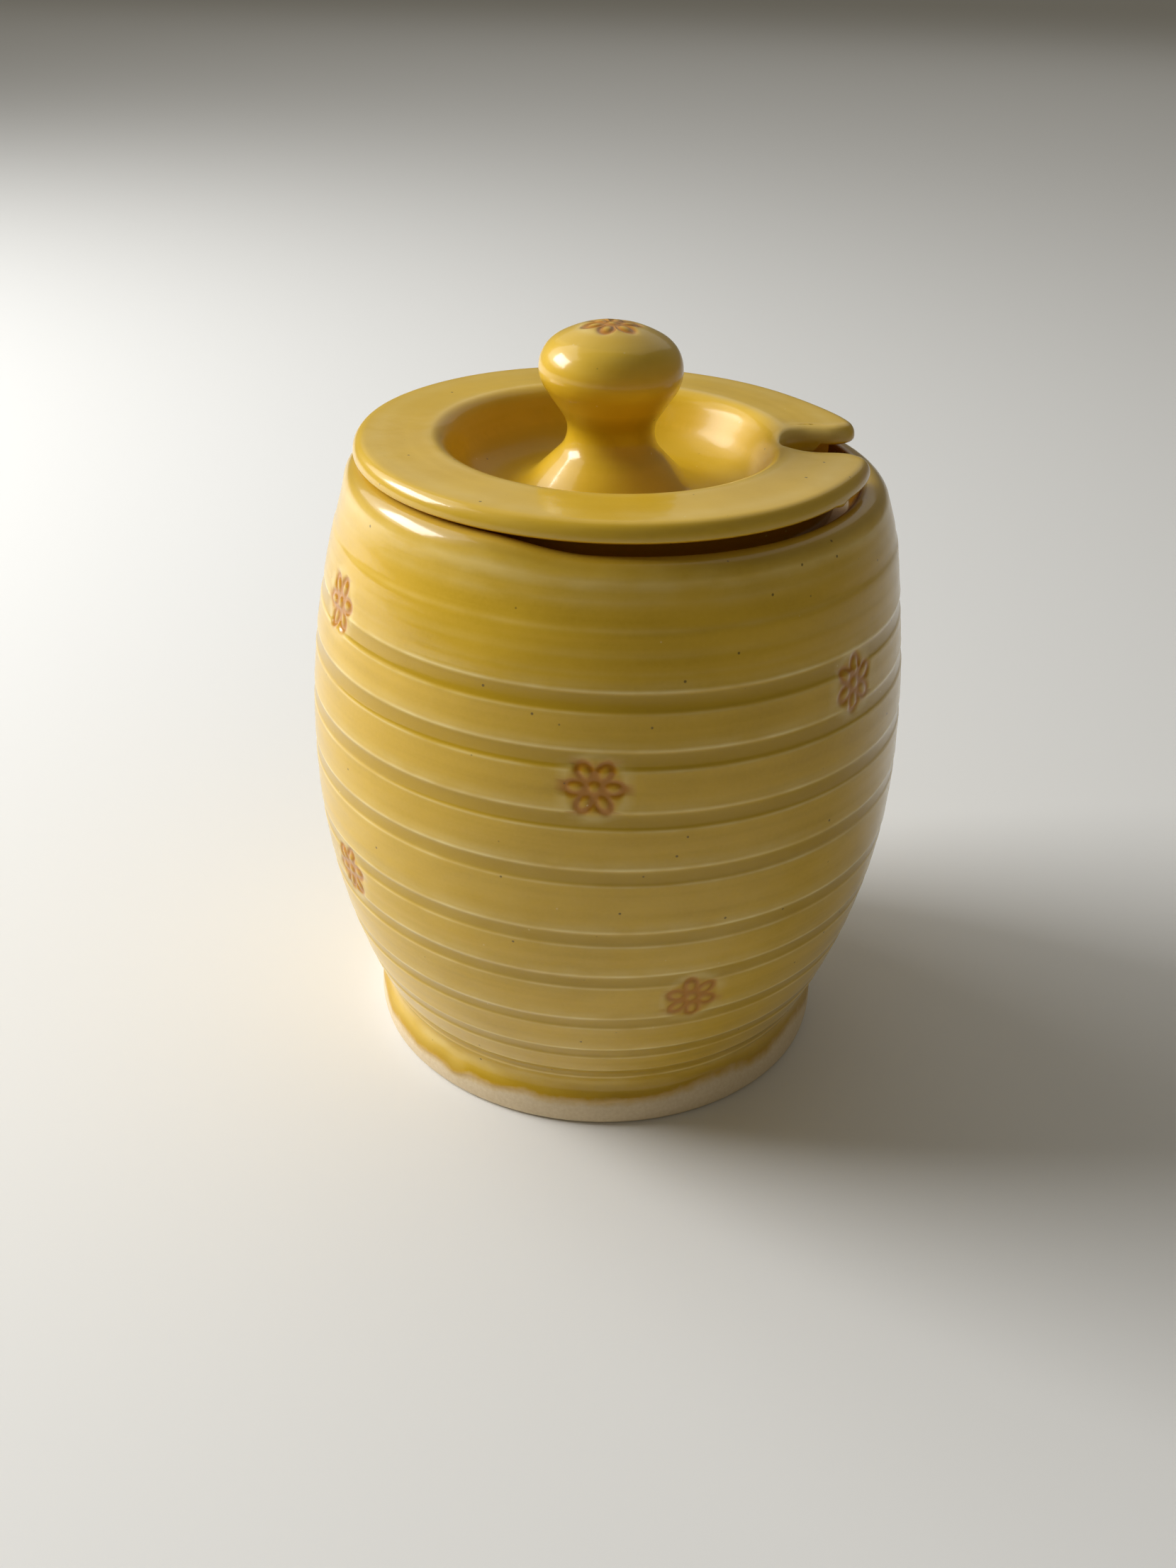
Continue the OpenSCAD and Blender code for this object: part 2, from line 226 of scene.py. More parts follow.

# %% [markdown]
# ## The honey glaze
#
# The clay is a pale stoneware under one transparent honey-yellow glaze, dipped and fired glossy.
# Such a glaze is a tinted glass, so its colour is a matter of thickness: it breaks pale over edges,
# where it ran off, and pools to a dark olive amber in the grooves. Rather than painting a picture,
# the meshes carry five numbers at each point: thin, pooled and stained glaze, bare (how far a point
# lies below the glaze line) and dull (where the gloss has worn off). Some of them also paint light:
# the thin number gives a painted highlight along the well's lip, the pooled one paints shade in the
# pot's gallery and a reflection of the well under the knob, and the stained one, otherwise iron
# rubbed into the pressed flowers, paints shade in the gallery and under the lid's flange, where the
# gloss is turned off as well.
# The material turns them into colour and gloss. It adds what is too fine for the mesh: streaks from
# the wheel, soft clouds and iron specks.


# %% Glaze material
def honey_glaze(name, light, deep):
    """Glossy glaze on pale stoneware: a clear coat over a streaked yellow of two tones."""
    material = bpy.data.materials.new(name)
    material.use_nodes = True
    tree = material.node_tree
    tree.nodes.clear()

    def carried(attribute):
        """One of the five numbers that the mesh carries."""
        return add(tree, "ShaderNodeAttribute", attribute_name=attribute).outputs["Fac"]

    def mapped(per_mm):
        """Object coordinates, so many pattern cells to the millimetre along x, y and z."""
        scale = [number / MM for number in per_mm]
        place = add(tree, "ShaderNodeTexCoord").outputs["Object"]
        return add(tree, "ShaderNodeMapping", {"Vector": place, "Scale": scale}).outputs["Vector"]

    def cloud(per_mm, detail, low, high):
        """Noise between two levels, stretched to run from 0 to 1."""
        vector = mapped(per_mm)
        fog = add(tree, "ShaderNodeTexNoise", {"Vector": vector, "Scale": 1, "Detail": detail})
        reach = {"Value": fog.outputs["Fac"], "From Min": low, "From Max": high}
        return add(tree, "ShaderNodeMapRange", reach).outputs["Result"]

    def math_of(operation, a, b):
        return add(tree, "ShaderNodeMath", {0: a, 1: b}, operation=operation).outputs[0]

    def tinted(below, above, amount):
        """Lays one colour over another by an amount from 0 to 1."""
        mix = add(tree, "ShaderNodeMix", {"Factor": amount}, data_type="RGBA")
        for socket, value in ((mix.inputs[6], below), (mix.inputs[7], above)):
            if isinstance(value, bpy.types.NodeSocket):
                tree.links.new(value, socket)
            else:
                socket.default_value = value
        return mix.outputs[2]

    def spots(cell_mm, radius_mm, share):
        """Small round spots: one in each chosen cell of a random grid."""
        cells = add(tree, "ShaderNodeTexVoronoi", {"Vector": mapped([1 / cell_mm] * 3), "Scale": 1})
        near = {"Value": cells.outputs["Distance"], "To Min": 1, "To Max": 0}
        near |= {"From Min": 0.6 * radius_mm / cell_mm, "From Max": radius_mm / cell_mm}
        spot = add(tree, "ShaderNodeMapRange", near).outputs["Result"]
        pick = add(tree, "ShaderNodeSeparateColor", {"Color": cells.outputs["Color"]})
        return math_of("MULTIPLY", spot, math_of("LESS_THAN", pick.outputs["Red"], share))

    # Clouds 15 mm across, wheel streaks 1 mm high that run far round, a ragged edge of 2 mm, a
    # grain of half a millimetre, and a fading that breaks up the pale lines
    clouds = cloud((1 / 16, 1 / 16, 1 / 9), 3, 0.32, 0.68)
    streaks = cloud((1 / 55, 1 / 55, 1 / 1.3), 4, 0.3, 0.7)
    ragged = cloud((1 / 2.2, 1 / 2.2, 1 / 2.2), 3, 0.3, 0.7)
    grain = cloud((1 / 0.6, 1 / 0.6, 1 / 0.6), 4, 0.3, 0.7)
    fading = cloud((1 / 7, 1 / 7, 1 / 3), 2, 0.3, 0.7)
    fading = math_of("ADD", math_of("MULTIPLY", fading, 0.75), 0.4)

    # From the body colour up: streaks, grain, olive amber pools (also painted shade in the gallery
    # and a painted reflection under the knob), pale breaks (also a painted highlight along the
    # well's lip), rusty iron (also painted shade in the gallery and under the lid's flange), specks
    glaze = tinted(colour(light), colour(deep), clouds)
    glaze = tinted(glaze, colour("#E2B838"), math_of("MULTIPLY", streaks, 0.4))
    glaze = tinted(glaze, colour("#E2B93C"), math_of("MULTIPLY", grain, 0.2))
    glaze = tinted(glaze, colour("#B08B00"), carried("pool_and_shade"))
    glaze = tinted(glaze, colour("#F2DA90"), math_of("MULTIPLY", carried("thin"), fading))
    glaze = tinted(glaze, colour("#BA7A02"), carried("stain_and_shade"))
    glaze = tinted(glaze, colour("#5C4514"), math_of("MULTIPLY", spots(4.2, 0.26, 0.7), 0.8))
    glaze = tinted(glaze, colour("#EBD48C"), math_of("MULTIPLY", spots(4, 0.2, 0.5), 0.5))

    # Unglazed stoneware: matt, off-white, faintly pink, with a fine grain
    clay = tinted(colour("#E8D5B4"), colour("#DFCAA6"), grain)
    edge = math_of("ADD", carried("bare"), math_of("MULTIPLY", ragged, 0.6))
    fade_out = {"Value": edge, "From Min": -0.7, "From Max": 1.2}
    uncovered = add(tree, "ShaderNodeMapRange", fade_out).outputs["Result"]
    base = tinted(glaze, clay, uncovered)

    # The glaze is a film of glass, so it is smooth. The clay under it scatters.
    polish = {"Value": uncovered, "To Min": 0.32, "To Max": 0.8}
    rough = add(tree, "ShaderNodeMapRange", polish).outputs["Result"]
    covered = math_of("MULTIPLY", math_of("SUBTRACT", 1.0, uncovered), 0.63)
    covered = math_of("MULTIPLY", covered, math_of("SUBTRACT", 1.0, carried("dull")))

    # Soft waves in the glaze 3 to 4 mm across, under wheel marks a few hundredths of a mm deep
    waves = cloud((1 / 3.6, 1 / 3.6, 1 / 2.4), 2, 0.2, 0.8)
    relief = math_of("ADD", math_of("MULTIPLY", streaks, 0.35), waves)
    bare_grain = math_of("MULTIPLY", grain, math_of("MULTIPLY", uncovered, 0.6))
    relief = math_of("ADD", relief, bare_grain)
    bumps = {"Height": relief, "Strength": 0.6, "Distance": 0.03 * MM}
    surface = add(tree, "ShaderNodeBump", bumps).outputs["Normal"]

    shader = add(
        tree,
        "ShaderNodeBsdfPrincipled",
        {
            "Base Color": base,
            "Roughness": rough,
            "IOR": 1.5,
            "Specular IOR Level": 0.2,
            "Coat Weight": covered,
            "Coat Roughness": 0.12,
            "Coat IOR": 1.5,
            "Normal": surface,
            "Coat Normal": surface,
        },
    )
    add(tree, "ShaderNodeOutputMaterial", {"Surface": shader.outputs["BSDF"]})
    print(name, "has", len(tree.nodes), "nodes")
    return material


pot_glaze = honey_glaze("honey_glazed_stoneware_pot", "#D4AA20", "#C59D14")
lid_glaze = honey_glaze("honey_glazed_stoneware_lid", "#E3B92A", "#D4AA18")

# %% [markdown]
# ## The pot's outline
#
# A pot comes off the wheel as one outline turned round an axis, so the outline is where the work
# is. The side is two long arcs that meet at the belly. A hollow neck leads into the rolled foot
# below, and above a trimmed collar rolls over into the rim. Every arc meets the next without a
# corner, because its centre is worked out from the one before.

# %% Arcs of the outside
BELLY_R, BELLY_Z = 50, 55.5
RIM_R, RIM_Z = 39.6, 103.3
NECK_R, NECK_Z, NECK_CURVE = 39.6, 8, 3.5
FOOT_R, FOOT_ROLL, FOOT_EDGE = 40.9, 8, 0.6
SHOULDER_ROUND = 3.6
STEP_Z, STEP_DEPTH = 94.4, 0.12
WALL = 5

fall = BELLY_R - NECK_R
lower_curve = ((BELLY_Z - NECK_Z) ** 2 + fall**2) / (2 * fall) - NECK_CURVE
lower_x = BELLY_R - lower_curve
neck_x = NECK_R + NECK_CURVE
neck_angle = math.degrees(math.atan2(BELLY_Z - NECK_Z, neck_x - lower_x))

foot_x = FOOT_R - FOOT_ROLL
flare = FOOT_R - NECK_R
foot_z = NECK_Z - math.sqrt(2 * (NECK_CURVE + FOOT_ROLL) * flare - flare**2)
foot_top = math.degrees(math.atan2(NECK_Z - foot_z, neck_x - foot_x))
foot_low = math.degrees(math.asin((FOOT_EDGE - foot_z) / FOOT_ROLL))
ring_r = foot_x + FOOT_ROLL * math.cos(math.radians(foot_low)) - FOOT_EDGE

shoulder_z = RIM_Z - SHOULDER_ROUND
fall = BELLY_R - STEP_DEPTH - RIM_R
collar_curve = (fall**2 + (shoulder_z - BELLY_Z) ** 2 - SHOULDER_ROUND**2) / (
    2 * (fall - SHOULDER_ROUND)
)
upper_curve = collar_curve + STEP_DEPTH
upper_x = BELLY_R - upper_curve
shoulder_low = math.degrees(math.asin((shoulder_z - BELLY_Z) / (collar_curve - SHOULDER_ROUND)))
print("side arcs", round(lower_curve, 1), "and", round(upper_curve, 1), "mm")
print("foot ring reaches out to", round(ring_r, 1), "mm")

# %% [markdown]
# ## Nine tooled grooves
#
# Each groove was pressed with a flat tool while the pot turned. It has a flat floor and rounded
# edges, and the clay that it pushed aside stands up a hair beside it. The glaze has filled it up to
# a sixth of a millimetre. The spacing is by hand and so uneven. The outline gets a row of points at
# each turn of a groove, and few in between.

# %% Groove places
GROOVE_TOP = 84.5
GROOVE_STEPS = [8.5, 9.5, 9.5, 11.5, 9, 10, 8.5, 6.5]
GROOVE_DEPTH, PUSHED_UP = 0.16, 0.04
# The top groove is 2.9 mm wide and the lowest one 2.2 mm
HALF_WIDTH, HALF_LOSS = 1.45, 0.35
grooves = []
for i in range(len(GROOVE_STEPS) + 1):
    middle = GROOVE_TOP - sum(GROOVE_STEPS[:i])
    grooves.append((middle, HALF_WIDTH - HALF_LOSS * i / len(GROOVE_STEPS)))


def beyond_edge(z):
    """How far a height lies above and below the nearest groove, negative inside it."""
    middle, half_width = min(grooves, key=lambda groove: abs(groove[0] - z))
    return z - middle - half_width, middle - z - half_width


def groove_sink(z):
    """Depth of the clay's surface under the plain side at a height."""
    outside = max(beyond_edge(z))
    pressed = GROOVE_DEPTH * (1 - ease(-0.65, 0.2, outside))
    return pressed - PUSHED_UP * bump(0.4, 0.35, outside)


print("grooves at", [middle for middle, half_width in grooves])


# %% Heights of the outline's points on the side
side_start = NECK_Z + NECK_CURVE * math.sin(math.radians(neck_angle))
heights = []
for middle, half_width in grooves:
    heights.append(middle)
    for beyond in (-0.75, -0.4, -0.25, -0.1, 0.05, 0.2, 0.4, 0.65, 1.0):
        heights += [middle + half_width + beyond, middle - half_width - beyond]
heights += [STEP_Z + beyond for beyond in (-0.6, -0.25, -0.1, 0, 0.1, 0.25, 0.5)]
POINT_GAP = 0.6
count = int((shoulder_z - side_start) / POINT_GAP) + 4
plain = [side_start + POINT_GAP * i for i in range(count)]
heights += [z for z in plain if min(abs(z - taken) for taken in heights) > POINT_GAP / 2]
heights = sorted(z for z in heights if side_start < z)


def side_point(z):
    """Point of the outside at a height between the neck and the shoulder."""
    sink = groove_sink(z)
    curve, x = (lower_curve, lower_x) if z < BELLY_Z else (upper_curve, upper_x)
    sink += STEP_DEPTH * ease(STEP_Z - 0.6, STEP_Z + 0.7, z)
    lean = math.asin((z - BELLY_Z) / curve)
    return x + (curve - sink) * math.cos(lean), BELLY_Z + (curve - sink) * math.sin(lean)


collar_end = BELLY_Z + collar_curve * math.sin(math.radians(shoulder_low))
side = [side_point(z) for z in heights if z < collar_end - 0.2]
print(len(side), "points on the side, up to", round(collar_end, 2), "mm")

# %% [markdown]
# ## Foot, rim and inside
#
# The pot stands on a turned ring with a shallow hollow inside it. At the top, the wall turns in to
# a gallery: a short wall and a ledge that carries the lid. Inside, the floor curves up into the
# wall. The camera sees none of this, but a pot is judged by picking it up.

# %% Foot
# From the middle of the hollow out over the standing ring, round the roll and up to the neck
HOLLOW = 2
RING_IN = ring_r - 7
foot = [(r, HOLLOW) for r in (0, 8, 16, 22, 26)]
foot += arc((RING_IN - 3.2, HOLLOW - 1), 1, 90, 45, 0.4)
foot += arc((RING_IN + 0.4, 0.8), 0.8, 225, 270, 0.3)
foot += [(RING_IN + 2.2, 0), (RING_IN + 4.4, 0)]
foot += arc((ring_r - 0.2, 0.6), 0.6, 270, 315, 0.2)
foot += arc((foot_x, foot_z), FOOT_ROLL, foot_low + 1, foot_top, 0.35)
foot += arc((neck_x, NECK_Z), NECK_CURVE, 180 + foot_top, 180 - neck_angle, 0.35)[1:]
print(len(foot), "points on the foot")

# %% Rim
# Over the rim, down the wall of the gallery, in along its ledge and round the mouth
RIM_EDGE = 0.8
GALLERY_R = RIM_R - RIM_EDGE
LEDGE_R, LEDGE_Z = GALLERY_R - 1.4, RIM_Z - 4.2
MOUTH_R, MOUTH_ROUND = LEDGE_R - 3.6, 0.5
rim = arc((RIM_R, shoulder_z), SHOULDER_ROUND, shoulder_low, 90, 0.3)
rim += arc((RIM_R, RIM_Z - RIM_EDGE), RIM_EDGE, 90, 180, 0.25)[1:]
rim += [(GALLERY_R - 0.45, RIM_Z - 2), (LEDGE_R + 0.25, LEDGE_Z + 0.75)]
rim += arc((LEDGE_R - 0.5, LEDGE_Z + 0.5), 0.5, 0, -90, 0.3)
rim += [(LEDGE_R - 1.6, LEDGE_Z), (LEDGE_R - 2.4, LEDGE_Z)]
rim += arc((MOUTH_R + MOUTH_ROUND, LEDGE_Z - MOUTH_ROUND), MOUTH_ROUND, 90, 180, 0.2)
rim += [(MOUTH_R, LEDGE_Z - 1.8)]
rim += arc((MOUTH_R + 0.8, LEDGE_Z - 2.9), 0.8, 180, 225, 0.3)
print("ledge at", round(LEDGE_Z, 1), "mm, mouth", round(2 * MOUTH_R, 1), "mm wide")

# %% Inside
# Down the inner side of the wall, which is even, and round into the floor
FLOOR_Z, FLOOR_ROUND = 6.5, 9
THROAT_Z = 92.5
inner_upper = upper_curve - WALL
inner_lower = lower_curve - WALL
throat_lean = math.asin((THROAT_Z - BELLY_Z) / inner_upper)
throat_r = upper_x + inner_upper * math.cos(throat_lean)
floor_x = lower_x + math.sqrt(
    (inner_lower - FLOOR_ROUND) ** 2 - (BELLY_Z - FLOOR_Z - FLOOR_ROUND) ** 2
)
floor_angle = math.degrees(
    math.asin((FLOOR_Z + FLOOR_ROUND - BELLY_Z) / (inner_lower - FLOOR_ROUND))
)
inside = [(throat_r - 2.2, THROAT_Z + 1.7)]
inside += arc((upper_x, BELLY_Z), inner_upper, math.degrees(throat_lean), 0, 2)
inside += arc((lower_x, BELLY_Z), inner_lower, 0, floor_angle, 2)[1:]
inside += arc((floor_x, FLOOR_Z + FLOOR_ROUND), FLOOR_ROUND, floor_angle, -90, 1.2)[1:]
inside += [(r, FLOOR_Z) for r in (21, 14, 7, 0)]

pot_outline = foot + side + rim + inside
print("outline of", len(pot_outline), "points")


# %% [markdown]
# ## Turning it
#
# The spin operator is the potter's wheel: it sweeps the outline once round and merges the seam.
# The points on the axis fall together into the two poles.


# %% The wheel
def spun(bm, geom, segments):
    """Sweeps points and the lines between them once round the axis."""
    axis = {"cent": (0, 0, 0), "axis": (0, 0, 1), "angle": TURN}
    bmesh.ops.spin(bm, geom=geom, steps=segments, use_merge=True, **axis)


SEGMENTS = 176
pot_mesh = bmesh.new()
points = [pot_mesh.verts.new((r, 0, z)) for r, z in pot_outline]
lines = [pot_mesh.edges.new(pair) for pair in zip(points, points[1:])]
spun(pot_mesh, points + lines, SEGMENTS)
bmesh.ops.remove_doubles(pot_mesh, verts=pot_mesh.verts, dist=0.0001)
bmesh.ops.recalc_face_normals(pot_mesh, faces=pot_mesh.faces)
print("turned pot:", len(pot_mesh.faces), "faces")


# %% [markdown]
# ## Finer clay where the hand worked
#
# The flowers and the ragged edge of the glaze need more points than the wheel gives. Subdivide adds
# them only there: first along the turning direction, then up and down. The new points lie on
# straight chords, so they are pushed out to the true circle, or the gloss would show flat strips.


# %% Refining
def azimuth_of(place):
    """Angle round the pot in degrees, 0 towards the camera and positive to the right."""
    return math.degrees(math.atan2(place.x, -place.y))


def once(items):
    """The items in their order, each one once."""
    return list(dict.fromkeys(items))


# Edges shorter than this are left alone
FINE_ENOUGH = 0.42


def refine(bm, wanted, cuts, upright):
    """Cuts the level or the upright edges of the faces whose middle is wanted."""
    edges = []
    for face in bm.faces:
        if wanted(face.calc_center_median()):
            for edge in face.edges:
                run = edge.verts[1].co - edge.verts[0].co
                level = abs(run.z) < 0.2 * run.length
                if level != upright and run.length > FINE_ENOUGH:
                    edges.append(edge)
    bmesh.ops.subdivide_edges(bm, edges=once(edges), cuts=cuts, use_grid_fill=True)


def round_out(bm, segments):
    """Pushes points on the chords of a turned shape out to its circles."""
    half = math.pi / segments
    for vert in bm.verts:
        angle = math.atan2(vert.co.y, vert.co.x) % (2 * half) - half
        stretch = math.cos(angle) / math.cos(half)
        vert.co.x *= stretch
        vert.co.y *= stretch


# %% [markdown]
# ## Pressed flowers
#
# Five small flowers were pressed into the soft side with a stamp, and one into the knob. They are a
# plain six-petalled kind: each petal is a ring-shaped line, and a small ring marks the middle. The
# line is a distance to an ellipse, so its depth and its iron stain come from the same formula.

# %% Flower places
FLOWER_R, FLOWER_DEPTH = 4.5, 0.28
PETAL_OUT, PETAL_LONG, PETAL_WIDE = 2.75, 1.5, 1.0
EYE_R = 1.05
# Azimuth in degrees, height, turn in degrees, and how hard each was pressed
flowers = [
    (-64, 87.0, 8, 1.0),
    (49, 80.9, 22, 0.7),
    (-3.2, 71.8, 0, 1.0),
    (-58.7, 41.4, 15, 1.0),
    (17.1, 31.7, 40, 0.8),
]


def flower_line(across, up, turn):
    """How near a point is to the flower's lines, from 1 on a line to 0 well off it."""
    reach = math.hypot(across, up)
    angle = math.degrees(math.atan2(up, across)) - turn
    angle = math.radians((angle + 30) % 60 - 30)
    along, beside = reach * math.cos(angle), reach * math.sin(angle)
    petal = math.hypot((along - PETAL_OUT) / PETAL_LONG, beside / PETAL_WIDE)
    line = bump(0, 0.46, (petal - 1) * 1.1)
    return max(line, bump(EYE_R, 0.38, reach))


# %% Where the flowers are
def on_flower(place, margin):
    """Line and distance from the middle at a point of a flower, or None off them all."""
    if math.hypot(place.x, place.y) < 37:
        return None
    for azimuth, height, turn, press in flowers:
        up = place.z - height
        if abs(up) < FLOWER_R + margin:
            away = (azimuth_of(place) - azimuth + 180) % 360 - 180
            across = math.radians(away) * math.hypot(place.x, place.y)
            if math.hypot(across, up) < FLOWER_R + margin:
                return flower_line(across, up, turn) * press, math.hypot(across, up)
    return None


def at_flower(place):
    return on_flower(place, 0.6) is not None


def low_outside(place):
    return 1 < place.z < 9 and math.hypot(place.x, place.y) > 38


refine(pot_mesh, at_flower, cuts=5, upright=False)
refine(pot_mesh, at_flower, cuts=1, upright=True)
refine(pot_mesh, low_outside, cuts=1, upright=False)
round_out(pot_mesh, SEGMENTS)
print("refined pot:", len(pot_mesh.faces), "faces")

# %% [markdown]
# ## The potter's hand and the kiln
#
# Last, each point is moved a little and gets its five glaze numbers. The wall is never quite round
# and keeps faint rings from the fingers. The rim rises over a part of its way round, which closes
# the gap under the lid at the left. At the foot the glaze stops in a thick, dripping edge.

# %% Glaze line at the foot
# Azimuth, width in degrees and extra fall in mm of each drip of the glaze
drips = [
    (-66, 6, 1.0),
    (-50, 7, 0.9),
    (-38, 4, 1.3),
    (-27, 5, 0.5),
    (-12, 5, 0.8),
    (-2, 5, 0.6),
    (28, 12, -1.0),
    (58, 14, -1.2),
    (75, 9, 0.9),
    (120, 7, 1.6),
    (168, 10, 1.0),
    (-140, 8, 1.5),
    (-105, 6, 0.7),
]


def glaze_line(place):
    """Height at which the glaze ends above the bare foot."""
    azimuth = azimuth_of(place)
    line = 5.0 + 0.8 * drift(place.x, place.y, 0, 16, 1) + 0.2 * drift(place.x, place.y, 9, 5, 1)
    for at, width, extra in drips:
        line -= extra * bump(0, width, (azimuth - at + 180) % 360 - 180)
    return line


def rim_rise(azimuth):
    """How far the rim stands above the level one."""
    return 1.35 * ease(-128, -86, azimuth) * (1 - ease(-28, -6, azimuth))


# %% Glaze on the side
MARKS = ("thin", "pool_and_shade", "stain_and_shade", "bare", "dull")
# Well above the glaze line, and well below it
COVERED, BARE = -5.0, 5.0
GLAZE_THICK = 0.16
# Faint pale lines round the trimmed collar: height, how high, how pale
pale_lines = [(STEP_Z + 0.1, 0.4, 0.16), (98.2, 0.5, 0.12), (91.3, 0.5, 0.14), (88.6, 0.4, 0.1)]


def side_glaze(z):
    """How thin and how pooled the glaze is at a height: pale over edges, deep in the grooves."""
    thin = pool_and_shade = 0.0
    if z > 9.3:
        above, below = beyond_edge(z)
        thin = 0.8 * bump(0.2, 0.24, above) + 0.2 * bump(0.9, 0.8, above)
        thin += 0.6 * bump(0.15, 0.2, below)
        pool_and_shade = 0.6 * (1 - ease(-0.35, 0.0, max(above, below)))
        thin += 0.09 * (1 - ease(45, 78, z))
        for line_z, width, pale in pale_lines:
            thin += pale * bump(line_z, width, z)
    if z > 96:
        thin += 0.12 * ease(96, 99, z) + 0.35 * bump(100.6, 0.7, z)
        pool_and_shade += 0.6 * bump(102.4, 0.6, z)
    return thin, pool_and_shade


def unevenness(place):
    """Outward move from the hand: a bulge at the right shoulder, a slow sway and throwing rings."""
    x, y, z = place
    bulge = 0.8 * bump(96, 9, z) * bump(93, 40, azimuth_of(place))
    return bulge + 0.1 * drift(x, y, z, 40, 30) + 0.05 * drift(x, y, z, 90, 1.6)


# %% Marks on the pot
def mark_outside(place):
    """Glaze numbers and the outward move of a point of the side, the foot or the rim."""
    x, y, z = place
    thin, pool_and_shade = side_glaze(z)
    stain_and_shade = 0.0
    move = unevenness(place)
    near = on_flower(place, 1.6)
    if near:
        line, reach = near
        stain_and_shade = 1.25 * line + 0.25 * (1 - ease(3.6, 4.6, reach))
        thin = thin * ease(4.0, 5.2, reach) + 0.35 * bump(4.9, 0.7, reach)
        pool_and_shade *= ease(3.6, 5.0, reach)
        move -= FLOWER_DEPTH * line
    move *= ease(1.5, 7, z)
    # Near its lower end the glaze is thick and ends in a soft bead, and below it the clay is bare
    bare = min(BARE, glaze_line(place) - z)
    pool_and_shade = max(pool_and_shade, 0.4 * bump(-1.2, 0.9, bare))
    stain_and_shade = max(stain_and_shade, 0.3 * bump(-0.3, 0.7, bare))
    thin += 0.3 * bump(-3.4, 1.3, bare) * (1 + drift(x, y, z, 14, 3))
    move += GLAZE_THICK * ease(0.15, -0.5, bare) if bare > -3 else GLAZE_THICK
    move += 0.14 * bump(-0.7, 0.5, bare) - GLAZE_THICK
    return (min(1, thin), min(1, pool_and_shade), min(1, stain_and_shade), bare, 0.0), move


def mark_pot(place):
    """Glaze numbers and the outward move of any point of the pot."""
    r, z = math.hypot(place.x, place.y), place.z
    if r > 37.5 and z < 103.5 and (z < 92 or r > 39.2):
        return mark_outside(place)
    if z < 4 or (abs(z - LEDGE_Z) < 0.3 and r < LEDGE_R + 0.2):
        return (0.0, 0.0, 0.0, BARE, 0.0), 0.0
    if z > LEDGE_Z:
        # Painted shade: pooled and iron-stain colour darken the gallery, where little light gets in
        # under the lid, and its gloss is turned off
        return (0.0, 1.0, 0.8, COVERED, 1.0), 0.0
    return (0.0, 0.0, 0.0, COVERED, 0.0), 0.0


# %% Firing and finishing
def fire(bm, mark):
    """Marks every point of a mesh with its glaze numbers and moves it."""
    layers = [bm.verts.layers.float.new(name) for name in MARKS]
    for vert in bm.verts:
        numbers, move = mark(vert.co)
        for layer, number in zip(layers, numbers):
            vert[layer] = number
        if isinstance(move, Vector):
            vert.co += move
        elif move:
            level = Vector((vert.co.x, vert.co.y, 0)).normalized()
            vert.co += level * move


def finished(bm, name, body, node, material):
    """Turns a mesh in millimetres into a smooth piece that rides on a body."""
    bmesh.ops.scale(bm, vec=(MM, MM, MM), verts=bm.verts)
    data = bpy.data.meshes.new(name)
    bm.to_mesh(data)
    bm.free()
    data.shade_smooth()
    data.materials.append(material)
    piece = bpy.data.objects.new(name, data)
    bpy.context.scene.collection.objects.link(piece)
    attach(piece, body)
    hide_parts(node)
    triangles = sum(len(face.vertices) - 2 for face in data.polygons)
    print(name, "has", triangles, "triangles")


# %% The pot
RISE_START, RISE_END = 98.5, 103
fire(pot_mesh, mark_pot)
for vert in pot_mesh.verts:
    if vert.co.z > RISE_START:
        vert.co.z += rim_rise(azimuth_of(vert.co)) * ease(RISE_START, RISE_END, vert.co.z)
finished(pot_mesh, "thrown_pot", "pot", "pot", pot_glaze)

# %% [markdown]
# ## The lid seen from above
#
# The lid is turned too, but a notch for a spoon is cut into its edge, so a plain spin would not do.
# Cutting the notch with a Boolean and bevelling it is one way, but a lip as soft as this one fails
# there. So the lid is grown from its own outline: a ring of points round the edge and the notch is
# extruded again and again, and each new ring is moved further in, until the rings are plain circles
# in the well. Each point keeps a station number, so it always knows its place.

# %% Half of the keyhole outline
FLANGE_R, NOTCH_HALF, NOTCH_END = 40.5, 5.3, 32.5
CORNER_ROUND = 4
corner_y = NOTCH_HALF + CORNER_ROUND
corner_x = math.sqrt((FLANGE_R - CORNER_ROUND) ** 2 - corner_y**2)
corner_angle = math.degrees(math.atan2(corner_y, corner_x))

# Each station has a place on the outline, the way into the clay, and its angle in the well
half = []
for x, y in arc((NOTCH_END, 0), NOTCH_HALF, 180, 90, 0.6):
    half.append((x, y, (x - NOTCH_END) / NOTCH_HALF, y / NOTCH_HALF))
for i in (1, 2, 3, 4):
    half.append((NOTCH_END + (corner_x - NOTCH_END) * i / 5, NOTCH_HALF, 0, 1))
for x, y in arc((corner_x, corner_y), CORNER_ROUND, -90, corner_angle, 0.5):
    half.append((x, y, (corner_x - x) / CORNER_ROUND, (corner_y - y) / CORNER_ROUND))
notch_count = len(half)
for x, y in arc((0, 0), FLANGE_R, corner_angle, 180, 1.15)[1:]:
    half.append((x, y, -x / FLANGE_R, -y / FLANGE_R))

FAN = 40
fans = []
for i, (x, y, inward_x, inward_y) in enumerate(half):
    around = math.degrees(math.atan2(y, x))
    if i < notch_count:
        fans.append(FAN * i / (notch_count - 1))
    else:
        fans.append(around + (FAN - corner_angle) * (1 - ease(corner_angle, 110, around)))

stations = [(*point, fan) for point, fan in zip(half, fans)]
stations += [(x, -y, nx, -ny, -fan) for x, y, nx, ny, fan in reversed(stations[1:-1])]
print(len(stations), "stations round the lid")

